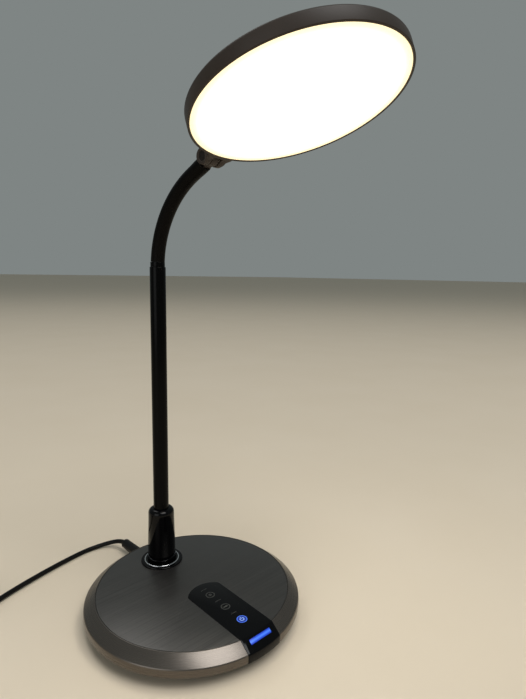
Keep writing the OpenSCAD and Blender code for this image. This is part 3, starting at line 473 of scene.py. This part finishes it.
# Touch strip: a gloss black moulding let into the top plate, over the sloped rim and down the band.
# It is the base's own skin, lifted a little, cut to the strip's outline and given its thickness.
# Polished black ABS: deep black with sharp but weak reflections, slightly smeared by fingers
gloss_black, inputs, tree, place = material("polished_black_abs", "#040405", Roughness=0.1, IOR=1.5,
                                            Specular_IOR_Level=0.15)
smear = node(tree, "TexNoise", "Fac", {"Vector": place, "Scale": 1 / (9 * mm), "Detail": 4.0})
node(tree, "MapRange", 0, {"Value": smear, "From Min": 0.35, "From Max": 0.7, "To Min": 0.07, "To Max": 0.16},
     inputs["Roughness"])
ripple = node(tree, "TexNoise", "Fac", {"Vector": place, "Scale": 1 / (2.5 * mm), "Detail": 1.0})
node(tree, "Bump", 0, {"Strength": 0.03, "Distance": 0.05 * mm, "Height": ripple}, inputs["Normal"])
strip = strip_skin(band_z)
rounded(strip, sharp_edges(strip, 25), 1.0, 4)
bmesh.ops.solidify(strip, geom=strip.faces[:], thickness=strip_thick * mm)
bmesh.ops.recalc_face_normals(strip, faces=strip.faces[:])
rounded(strip, sharp_edges(strip, 60), 0.3, 3)
bar_y, bar_z, bar_half_l, bar_half_w, bar_rise, bar_fit = -83.9, 21.914, 10, 1.8, 0.35, 0.1
bar_foot, slot_foot, slot_mouth = -3.65, -6, 3
bar_place = Matrix.Translation((0, bar_y * mm, bar_z * mm)) @ Matrix.Rotation(rim_slope, 4, "X")
slot_half_l, slot_half_w = bar_half_l + bar_fit, bar_half_w + bar_fit
bar_room = block((-slot_half_l, -slot_half_w, slot_foot), (slot_half_l, slot_half_w, slot_mouth), 0.3, 2)
strip_shape = cut_from(strip, put(bar_room, bar_place))
piece("touch_strip_moulding", strip_shape, gloss_black, "base", "gloss_black", "touch_strip")


# Touch signs: printed in thin ink on the strip. The power key's ring and stroke are lit blue from below;
# the two other keys have dim grey rings, and a short curved line stands over each key.
def lit(name, hex_edge, hex_core, strength):
    """A lit ink: it glows a little unevenly, paler where the light below is strongest."""
    made, inputs, tree, place = material(name, "#101318", Roughness=0.2, Emission_Strength=strength)
    uneven = node(tree, "TexNoise", "Fac", {"Vector": place, "Scale": 1 / (2 * mm)})
    node(tree, "Mix", 2, {0: uneven, 6: linear(hex_edge), 7: linear(hex_core)}, inputs["Emission Color"],
         data_type="RGBA")
    return made


# Lit inks: blue rim, paler blue sign, and a deep blue glow that spreads in the black under them
lit_sign = lit("lit_blue_ink", "#3568f0", "#5c8cff", 1.0)
bright_sign = lit("bright_blue_ink", "#7fabff", "#a9c8ff", 1.1)
glow_sign = lit("blue_glow_in_black", "#0f2488", "#1d3fb8", 0.7)
# Grey inks: dull and worn in patches, the dim one barely lighter than the strip
dim_ink, inputs, tree, place = material("dim_grey_ink", "#33332f", Roughness=0.5)
worn = node(tree, "TexNoise", "Fac", {"Vector": place, "Scale": 1 / (1.5 * mm), "Detail": 2.0})
node(tree, "Mix", 2, {0: worn, 6: linear("#1c1c1a"), 7: linear("#2e2e2b")}, inputs["Base Color"],
     data_type="RGBA")
pale_ink = dim_ink.copy()
pale_ink.name = "pale_grey_ink"
pale_mix = next(n for n in pale_ink.node_tree.nodes if n.bl_idname == "ShaderNodeMix")
pale_mix.inputs[6].default_value, pale_mix.inputs[7].default_value = linear("#363632"), linear("#4b4b46")
ink_low, ink_top = strip_top - 0.02, strip_top + 0.04


def ink_arc(name, finish, slot, y, inner, outer, start=0, sweep=360):
    """A printed arc around (0, y), from start through sweep degrees."""
    bm = turned([(inner, ink_low), (outer, ink_low), (outer, ink_top), (inner, ink_top)], 60,
                turn=math.radians(sweep))
    bmesh.ops.holes_fill(bm, edges=[e for e in bm.edges if e.is_boundary])
    bmesh.ops.recalc_face_normals(bm, faces=bm.faces[:])
    place = Matrix.Translation((0, y * mm, 0)) @ Matrix.Rotation(math.radians(start), 4, "Z")
    return piece(name, put(bm, place), finish, "base", slot)


key_ys, line_ys = (-23.0, -43.0, -63.0), (-14.0, -33.0, -53.0)
key_ring, key_dot, power_ring, line_bow, line_rim = (2.9, 3.9), (0.3, 1.5), (1.3, 1.9), 20, (19.6, 20.2)
rim_in, glow_r, glow_top = 3.5, 4.1, strip_top + 0.02
at_power = Matrix.Translation((0, key_ys[2] * mm, 0))
for number, y in enumerate(key_ys[:2], 1):
    ink_arc(f"key_{number}_ring", dim_ink, "gloss_black", y, *key_ring)
ink_arc("key_1_dot", dim_ink, "gloss_black", key_ys[0], *key_dot)
ink_bar = block((-2.0, -0.6, ink_low), (2.0, 0.6, ink_top), 0.02, 1)
piece("key_2_bar", put(ink_bar, Matrix.Translation((0, key_ys[1] * mm, 0))), pale_ink, "base", "gloss_black")
glow = turned([(0, ink_low), (glow_r, ink_low), (glow_r, glow_top), (0, glow_top)], 60)
piece("power_glow", put(glow, at_power), glow_sign, "base", "blue_light")
ink_arc("power_rim", lit_sign, "blue_light", key_ys[2], rim_in, glow_r)
ink_arc("power_ring", bright_sign, "blue_light", key_ys[2], *power_ring, 125, 290)
power_stroke = block((-0.3, 0.5, ink_low), (0.3, 2.5, ink_top), 0.02, 1)
piece("power_stroke", put(power_stroke, at_power), bright_sign, "base", "blue_light")
for number, y in enumerate(line_ys, 1):
    ink_arc(f"key_line_{number}", dim_ink, "gloss_black", y - line_bow, *line_rim, 82, 16)


# Light bar: a clear blue-tinted moulding, lit from behind.
# It stands in a slot of the strip, square to the sloped rim, with its edges just broken.
# Lit blue acrylic: pale along its middle, falling off to deep blue at its long edges
bar_light, inputs, tree, place = material("lit_blue_acrylic", "#0c1c50", Roughness=0.25,
                                          Emission_Strength=1.05)
from_bar = node(tree, "Mapping", 0, {"Vector": place, "Location": (0, -bar_y * mm, -bar_z * mm)})
across = node(tree, "VectorMath", "Value", {0: from_bar, 1: (0, math.cos(rim_slope), math.sin(rim_slope))},
              operation="DOT_PRODUCT")
off_middle = node(tree, "Math", 0, {0: across}, operation="ABSOLUTE")
core = node(tree, "MapRange", 0, {"Value": off_middle, "From Max": 1.6 * mm, "To Min": 1.0, "To Max": 0.0},
            interpolation_type="SMOOTHSTEP")
node(tree, "Mix", 2, {0: core, 6: linear("#1638b4"), 7: linear("#467ef8")}, inputs["Emission Color"],
     data_type="RGBA")
bar = block((-bar_half_l, -bar_half_w, bar_foot), (bar_half_l, bar_half_w, bar_rise), 0.2)
piece("light_bar_moulding", put(bar, bar_place), bar_light, "base", "blue_light", "light_bar")


# Electronics in the base: the touch board under the strip with its foam pads and chips, the driver board with
# its choke and capacitor, the supply socket, and the plated screws; all closed in, so they keep their solids.
# Zinc-plated steel: bright grey metal with a faint spangle
zinc_steel, inputs, tree, place = material("zinc_plated_steel", "#a9a9aa", Metallic=1.0, Roughness=0.35)
spangle = node(tree, "TexVoronoi", "Distance", {"Vector": place, "Scale": 1 / (1.2 * mm)})
node(tree, "MapRange", 0, {"Value": spangle, "To Min": 0.28, "To Max": 0.45}, inputs["Roughness"])
repaint(zinc_steel, "pan_screws", "board_screws", "stem_bush", "stem_washer", "stem_nut")
# Hot-rolled steel: dull blue-grey, clouded by mill scale
rolled_steel, inputs, tree, place = material("hot_rolled_steel", "#4c4d50", Metallic=1.0, Roughness=0.55)
scale_marks = node(tree, "TexNoise", "Fac", {"Vector": place, "Scale": 1 / (8 * mm), "Detail": 5.0})
node(tree, "Mix", 2, {0: scale_marks, 6: linear("#3e3f42"), 7: linear("#5c5d60")}, inputs["Base Color"],
     data_type="RGBA")
repaint(rolled_steel, "steel_weight")
# Green solder resist: glossy, lighter and darker where the copper runs below it
solder_resist, inputs, tree, place = material("green_solder_resist", "#1d5a33", Roughness=0.3, IOR=1.55)
tracks = node(tree, "TexNoise", "Fac", {"Vector": place, "Scale": 1 / (1.5 * mm)})
node(tree, "Mix", 2, {0: tracks, 6: linear("#174a2a"), 7: linear("#236b3d")}, inputs["Base Color"],
     data_type="RGBA")
repaint(solder_resist, "touch_board", "driver_board")
repaint(foot_foam, "touch_pads")
# Chip resin: cloudy pale yellow
chip_resin, inputs, tree, place = material("yellow_chip_resin", "#e6d38a", Roughness=0.35)
cloudy = node(tree, "TexNoise", "Fac", {"Vector": place, "Scale": 1 / (0.8 * mm)})
node(tree, "MapRange", 0, {"Value": cloudy, "To Min": 0.28, "To Max": 0.45}, inputs["Roughness"])
repaint(chip_resin, "indicator_leds", "leds")
# Pressed ferrite: dull dark grey and gritty
ferrite, inputs, tree, place = material("pressed_ferrite", "#2b2b2d", Roughness=0.7)
grit = node(tree, "TexNoise", "Fac", {"Vector": place, "Scale": 1 / (0.3 * mm)})
node(tree, "Bump", 0, {"Strength": 0.4, "Distance": 0.05 * mm, "Height": grit}, inputs["Normal"])
repaint(ferrite, "driver_choke")
# Mill-finish aluminium: pale metal with fine rolling lines
bare_aluminium, inputs, tree, place = material("mill_finish_aluminium", "#bdbec0", Metallic=1.0,
                                               Roughness=0.4)
roll_l, roll_w = 25 * mm, 0.5 * mm
rolled_out = node(tree, "Mapping", 0, {"Vector": place, "Scale": (1 / roll_l, 1 / roll_w, 1 / roll_l)})
rolled = node(tree, "TexNoise", "Fac", {"Vector": rolled_out, "Scale": 1.0})
node(tree, "MapRange", 0, {"Value": rolled, "To Min": 0.32, "To Max": 0.48}, inputs["Roughness"])
repaint(bare_aluminium, "driver_capacitor", "back_plate")
repaint(moulded_abs, "dc_jack")
# Turned brass: yellow metal with fine rings round it
turned_brass, inputs, tree, place = material("turned_brass", "#c9a65a", Metallic=1.0, Roughness=0.3)
rings = node(tree, "TexWave", "Fac", {"Vector": place, "Scale": 1 / (0.4 * mm)}, bands_direction="Y")
node(tree, "MapRange", 0, {"Value": rings, "To Min": 0.24, "To Max": 0.36}, inputs["Roughness"])
repaint(turned_brass, "jack_pin")
repaint(cord_sheath, "stem_lead")


# Collar and trim ring: two gloss black mouldings at the foot of the stem. The collar tapers a little and has
# a round shoulder; the flat ring around it has a polished bead beside the collar.
stem_y = 50.5
stem_place = Matrix.Translation((0, stem_y * mm, 0))
ring_in, ring_r, ring_top = 12.85, 18.8, 25.2
ring_shape = turned([(ring_in, base_h), (ring_r, base_h), (ring_r, ring_top), (ring_in, ring_top)], 128,
                    [(ring_r, ring_top, 0.7, 4), (ring_in, ring_top, 0.3, 3)])
piece("trim_ring_flange", put(ring_shape, stem_place), gloss_black, "base", "gloss_black", "trim_ring")
bead = bmesh.new()
bead_r, bead_out = 0.6, 15.15
bead_at = Matrix.Translation((bead_out * mm, 0, ring_top * mm)) @ Matrix.Rotation(math.radians(90), 4, "X")
bead_ring = bmesh.ops.create_circle(bead, segments=24, radius=bead_r * mm, matrix=bead_at)["verts"]
bmesh.ops.spin(bead, geom=bead_ring + bead.edges[:], cent=(0, 0, 0), axis=(0, 0, 1), angle=math.tau,
               steps=128, use_merge=True)
bmesh.ops.remove_doubles(bead, verts=bead.verts[:], dist=1e-7)
bmesh.ops.recalc_face_normals(bead, faces=bead.faces[:])
# Polished chrome: bright and cool, very slightly uneven
chrome, inputs, tree, place = material("polished_chrome", "#c4c6c9", Metallic=1.0, Roughness=0.12)
polish = node(tree, "TexNoise", "Fac", {"Vector": place, "Scale": 1 / (0.8 * mm), "Detail": 2.0})
node(tree, "MapRange", 0, {"Value": polish, "To Min": 0.08, "To Max": 0.2}, inputs["Roughness"])
piece("trim_ring_bead", put(bead, stem_place), chrome, "base", "plated_contact")
collar_in, collar_r, collar_top_r, collar_bend, collar_top = 6.95, 12.7, 11.6, 70, 75
collar_shape = turned([(collar_in, base_h), (collar_r, base_h), (collar_top_r, collar_bend),
                       (collar_top_r, collar_top), (collar_in, collar_top)], 128,
                      [(collar_top_r, collar_top, 4.4, 8), (collar_r, base_h, 0.3, 2)])
piece("collar_moulding", put(collar_shape, stem_place), gloss_black, "base", "gloss_black", "collar")


# Stem: a straight drawn steel tube in gloss black lacquer, with a rolled edge at its top.
# A short black ferrule stands in the tube's top and takes the neck.
# Gloss black lacquer: deep black, with a slight orange peel that softens its narrow highlight
black_lacquer, inputs, tree, place = material("gloss_black_lacquer", "#030303", Roughness=0.2, IOR=1.5,
                                              Specular_IOR_Level=0.08)
peel = node(tree, "TexNoise", "Fac", {"Vector": place, "Scale": 1 / (1.2 * mm), "Detail": 2.0})
node(tree, "MapRange", 0, {"Value": peel, "To Min": 0.15, "To Max": 0.28}, inputs["Roughness"])
node(tree, "Bump", 0, {"Strength": 0.05, "Distance": 0.03 * mm, "Height": peel}, inputs["Normal"])
tube_in, tube_r, tube_top = 6.0, 6.8, 292
tube_shape = turned([(tube_in, base_h), (tube_r, base_h), (tube_r, tube_top), (tube_in, tube_top)], 96,
                    [(tube_r, tube_top, 0.5, 4)])
piece("stem_tube_lacquered", put(tube_shape, stem_place), black_lacquer, "base", "stem_black", "stem_tube")
lead_hole_r, spigot_r, ferrule_r, spigot_z, sleeve_foot = 2.15, 5.85, 6.15, 268, 296.3
ferrule_shape = turned([(lead_hole_r, spigot_z), (spigot_r, spigot_z), (spigot_r, tube_top),
                        (ferrule_r, tube_top), (ferrule_r, sleeve_foot), (lead_hole_r, sleeve_foot)], 96,
                       [(ferrule_r, sleeve_foot, 0.5, 4)])
piece("neck_ferrule", put(ferrule_shape, stem_place), black_lacquer, "base", "stem_black", "neck_root")


# Neck: a bendable steel spiral in a smooth soft black sleeve, here bent forward in an even arc.
# The sleeve is cut at the middle of every link.
link_l, link_bend, neck_links, neck_turn, first_pivot = 7.4, 10.2, 12, 8.7, 298.0
neck_r, sleeve_wall = 5.9, 0.9
at_stem = stem_place @ Matrix.Rotation(math.radians(neck_turn - 90), 4, "Z")
arc_r = link_l / math.tan(math.radians(link_bend / 2))
arc_foot = first_pivot - link_l
neck_lean = link_bend * neck_links / 2


def lean_at(links):
    """The sleeve's lean in degrees, so many links past the first pivot."""
    return min(link_bend * (links + 1) / 2, neck_lean)


def sleeve_place(links):
    """The sleeve's middle line so many links past the first pivot, as a place whose Z runs along it."""
    lean = math.radians(lean_at(links))
    onward = max(links - neck_links + 1, 0) * link_l
    point = Vector((arc_r * (1 - math.cos(lean)) + onward * math.sin(lean), 0,
                    arc_foot + arc_r * math.sin(lean) + onward * math.cos(lean)))
    return Matrix.Translation(point * mm) @ Matrix.Rotation(lean, 4, "Y")


# Silicone sleeve: warm black, soft and slightly dusty, with a low broad shine
sleeve_rubber, inputs, tree, place = material("silicone_sleeve", "#060504", Roughness=0.42, IOR=1.43,
                                              Specular_IOR_Level=0.08)
dust = node(tree, "TexNoise", "Fac", {"Vector": place, "Scale": 1 / (5 * mm), "Detail": 4.0})
node(tree, "MapRange", 0, {"Value": dust, "From Min": 0.3, "From Max": 0.7, "To Min": 0.34, "To Max": 0.52},
     inputs["Roughness"])
node(tree, "Mix", 2, {0: dust, 6: linear("#040303"), 7: linear("#080706")}, inputs["Base Color"],
     data_type="RGBA")
pores = node(tree, "TexNoise", "Fac", {"Vector": place, "Scale": 1 / (0.4 * mm)})
node(tree, "Bump", 0, {"Strength": 0.1, "Distance": 0.03 * mm, "Height": pores}, inputs["Normal"])
foot_links = 2 * math.degrees(math.asin((sleeve_foot - arc_foot) / arc_r)) / link_bend - 1
for link in range(1, neck_links + 1):
    start = foot_links if link == 1 else link - 1.5
    end = link - 0.5
    length = bmesh.new()
    rim = bmesh.ops.create_circle(length, segments=48, radius=neck_r * mm,
                                  matrix=sleeve_place(start))["verts"]
    bmesh.ops.spin(length, geom=rim + length.edges[:], cent=(arc_r * mm, 0, arc_foot * mm), axis=(0, 1, 0),
                   angle=math.radians(lean_at(end) - lean_at(start)), steps=8)
    if end > neck_links - 1:
        last = [e for e in length.edges if len(e.link_faces) == 1 and all(v not in rim for v in e.verts)]
        grown = bmesh.ops.extrude_edge_only(length, edges=last)["geom"]
        shift = (sleeve_place(end).translation - sleeve_place(neck_links - 1).translation)
        bmesh.ops.translate(length, vec=shift, verts=[v for v in grown if isinstance(v, bmesh.types.BMVert)])
    bmesh.ops.recalc_face_normals(length, faces=length.faces[:])
    bmesh.ops.solidify(length, geom=length.faces[:], thickness=sleeve_wall * mm)
    bmesh.ops.recalc_face_normals(length, faces=length.faces[:])
    sleeve = piece(f"neck_sleeve_{link}", put(length, at_stem), sleeve_rubber, None, "sleeve_black",
                   f"neck_link_{link}", sharp=40)
    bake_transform(sleeve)


# Neck tip: a turned end piece that the sleeve runs into, with a flat tongue for the tilt pin.
# The sleeve covers its shank; the tongue is painted brown-grey like the head.
# Satin brown-grey paint: warm dark grey, softly clouded, with a fine spray grain that dulls its shine
head_paint, inputs, tree, place = material("satin_brown_grey_paint", "#352f2a", Roughness=0.45, IOR=1.5,
                                           Specular_IOR_Level=0.2)
spray = node(tree, "TexNoise", "Fac", {"Vector": place, "Scale": 1 / (0.5 * mm), "Detail": 2.0})
cloud = node(tree, "TexNoise", "Fac", {"Vector": place, "Scale": 1 / (25 * mm), "Detail": 3.0})
node(tree, "MapRange", 0, {"Value": spray, "To Min": 0.38, "To Max": 0.54}, inputs["Roughness"])
node(tree, "Mix", 2, {0: cloud, 6: linear("#312b27"), 7: linear("#39322d")}, inputs["Base Color"],
     data_type="RGBA")
node(tree, "Bump", 0, {"Strength": 0.12, "Distance": 0.03 * mm, "Height": spray}, inputs["Normal"])
tip_l, tip_shoulder, shank_r, shank_in_r = 14.7, 7.7, 6.1, 5.85
shank_foot, sleeve_end, shank_full = -3.7, -3.6, 2.0
tip_place = at_stem @ sleeve_place(neck_links)
shank = turned([(0, shank_foot), (shank_in_r, shank_foot), (shank_in_r, sleeve_end), (neck_r, sleeve_end),
                (shank_r, shank_full), (shank_r, tip_shoulder), (0, tip_shoulder)], 64,
               [(shank_r, tip_shoulder, 0.6, 4)])
piece("neck_tip_shank", put(shank, tip_place), sleeve_rubber, "link_12", "sleeve_black", "neck_tip")
pin_hole_r, tongue_r, tongue_half = 2.05, 6.2, 3.5
tongue = turned([(pin_hole_r, -tongue_half), (tongue_r, -tongue_half), (tongue_r, tongue_half),
                 (pin_hole_r, tongue_half)], 64,
                [(tongue_r, -tongue_half, 0.5, 3), (tongue_r, tongue_half, 0.5, 3)])
put(tongue, Matrix.Translation((0, 0, tip_l * mm)) @ Matrix.Rotation(math.radians(90), 4, "X"))
piece("neck_tip_tongue", put(tongue, tip_place), head_paint, "link_12", "head_grey")
web_half_w, web_half_t, web_foot, web_top = 4.5, 3.45, tip_shoulder - 0.5, tip_l - 3.5
web = block((-web_half_w, -web_half_t, web_foot), (web_half_w, web_half_t, web_top), 0.4)
piece("neck_tip_web", put(web, tip_place), head_paint, "link_12", "head_grey")


# Head shell: a shallow round tray moulded in plastic and painted brown-grey, with a rounded back edge,
# and two hinge ears that flare out of its rim and take the tilt pin.
head_rise, hinge_out, head_r, mouth_r, head_half, head_floor = 19.1, 8.3, 75.0, 73.4, 5, 3.2
tip_end = (sleeve_place(neck_links) @ Matrix.Translation((0, 0, tip_l * mm))).translation
at_pin = at_stem @ Matrix.Translation(tip_end) @ Matrix.Rotation(math.radians(-head_rise), 4, "Y")
at_head = at_pin @ Matrix.Translation(((head_r + hinge_out) * mm, 0, 0))
tray = turned([(0, head_half), (head_r, head_half), (head_r, -head_half), (mouth_r, -head_half),
               (mouth_r, head_floor), (0, head_floor)], 192,
              [(head_r, head_half, 2.4, 7), (head_r, -head_half, 0.5, 3), (mouth_r, -head_half, 0.25, 2)])
piece("head_tray", put(tray, at_head), head_paint, "head", "head_grey", "head_shell")
ears = merged("head_shell")
ear_root, into_tray = 8.0 * mm, 1.8 * mm
forward = (at_pin.to_3x3() @ Vector((1, 0, 0))).normalized()
bmesh.ops.bisect_plane(ears, geom=ears.verts[:] + ears.edges[:] + ears.faces[:], dist=1e-7,
                       plane_co=at_pin @ Vector((ear_root, 0, 0)), plane_no=forward, clear_outer=True)
roots = bmesh.ops.extrude_edge_only(ears, edges=[e for e in ears.edges if e.is_boundary])["geom"]
bmesh.ops.translate(ears, vec=forward * into_tray,
                    verts=[v for v in roots if isinstance(v, bmesh.types.BMVert)])
bmesh.ops.dissolve_limit(ears, angle_limit=math.radians(0.5), verts=ears.verts[:], edges=ears.edges[:])
bmesh.ops.holes_fill(ears, edges=[e for e in ears.edges if e.is_boundary])
bmesh.ops.recalc_face_normals(ears, faces=ears.faces[:])
piece("hinge_ears", rounded(ears, sharp_edges(ears, 40), 0.4, 3), head_paint, "head", "head_grey")
# Black zinc plate: dark, warm and dull, so that the pin and its nut hardly show in the ears
black_zinc, inputs, tree, place = material("black_zinc_plated_steel", "#2b2724", Metallic=0.8, Roughness=0.5)
bloom = node(tree, "TexNoise", "Fac", {"Vector": place, "Scale": 1 / (1.0 * mm), "Detail": 2.0})
node(tree, "MapRange", 0, {"Value": bloom, "To Min": 0.42, "To Max": 0.58}, inputs["Roughness"])
repaint(black_zinc, "tilt_pin", "tilt_nut")
repaint(white_nylon, "tilt_washers", "reflector", "led_strip")
# Clear acrylic: colourless, with small printed dots that scatter the light
clear_acrylic, inputs, tree, place = material("clear_acrylic", "#eef3f4", Roughness=0.08, IOR=1.49,
                                              Transmission_Weight=0.9)
dots = node(tree, "TexVoronoi", "Distance", {"Vector": place, "Scale": 1 / (2 * mm)})
node(tree, "MapRange", 0, {"Value": dots, "To Min": 0.05, "To Max": 0.2}, inputs["Roughness"])
repaint(clear_acrylic, "light_guide")


# Diffuser: a sheet of opal acrylic in the tray's mouth, lit evenly from behind.
# Lit opal acrylic: white all over, warming to a pale yellow towards its edge
opal, inputs, tree, place = material("opal_acrylic_lit", "#f4f1ea", Roughness=0.35, IOR=1.49)
out = node(tree, "VectorMath", "Value", {0: place, 1: tuple(at_head.translation)}, operation="DISTANCE")
warm_from, warm_full = 47 * mm, 72.8 * mm
edge = node(tree, "MapRange", 0, {"Value": out, "From Min": warm_from, "From Max": warm_full},
            interpolation_type="SMOOTHSTEP")
node(tree, "Mix", 2, {0: edge, 6: linear("#fffdf8"), 7: linear("#ffe7ae")}, inputs["Emission Color"],
     data_type="RGBA")
node(tree, "MapRange", 0, {"Value": edge, "To Min": 9.0, "To Max": 1.0}, inputs["Emission Strength"])
sheet_r, sheet_face, sheet_back = 73.25, -4.6, -2.1
sheet = turned([(0, sheet_face), (sheet_r, sheet_face), (sheet_r, sheet_back), (0, sheet_back)], 192,
               [(sheet_r, sheet_face, 0.4, 3)])
piece("diffuser_sheet", put(sheet, at_head), opal, "head", "opal_white", "diffuser")
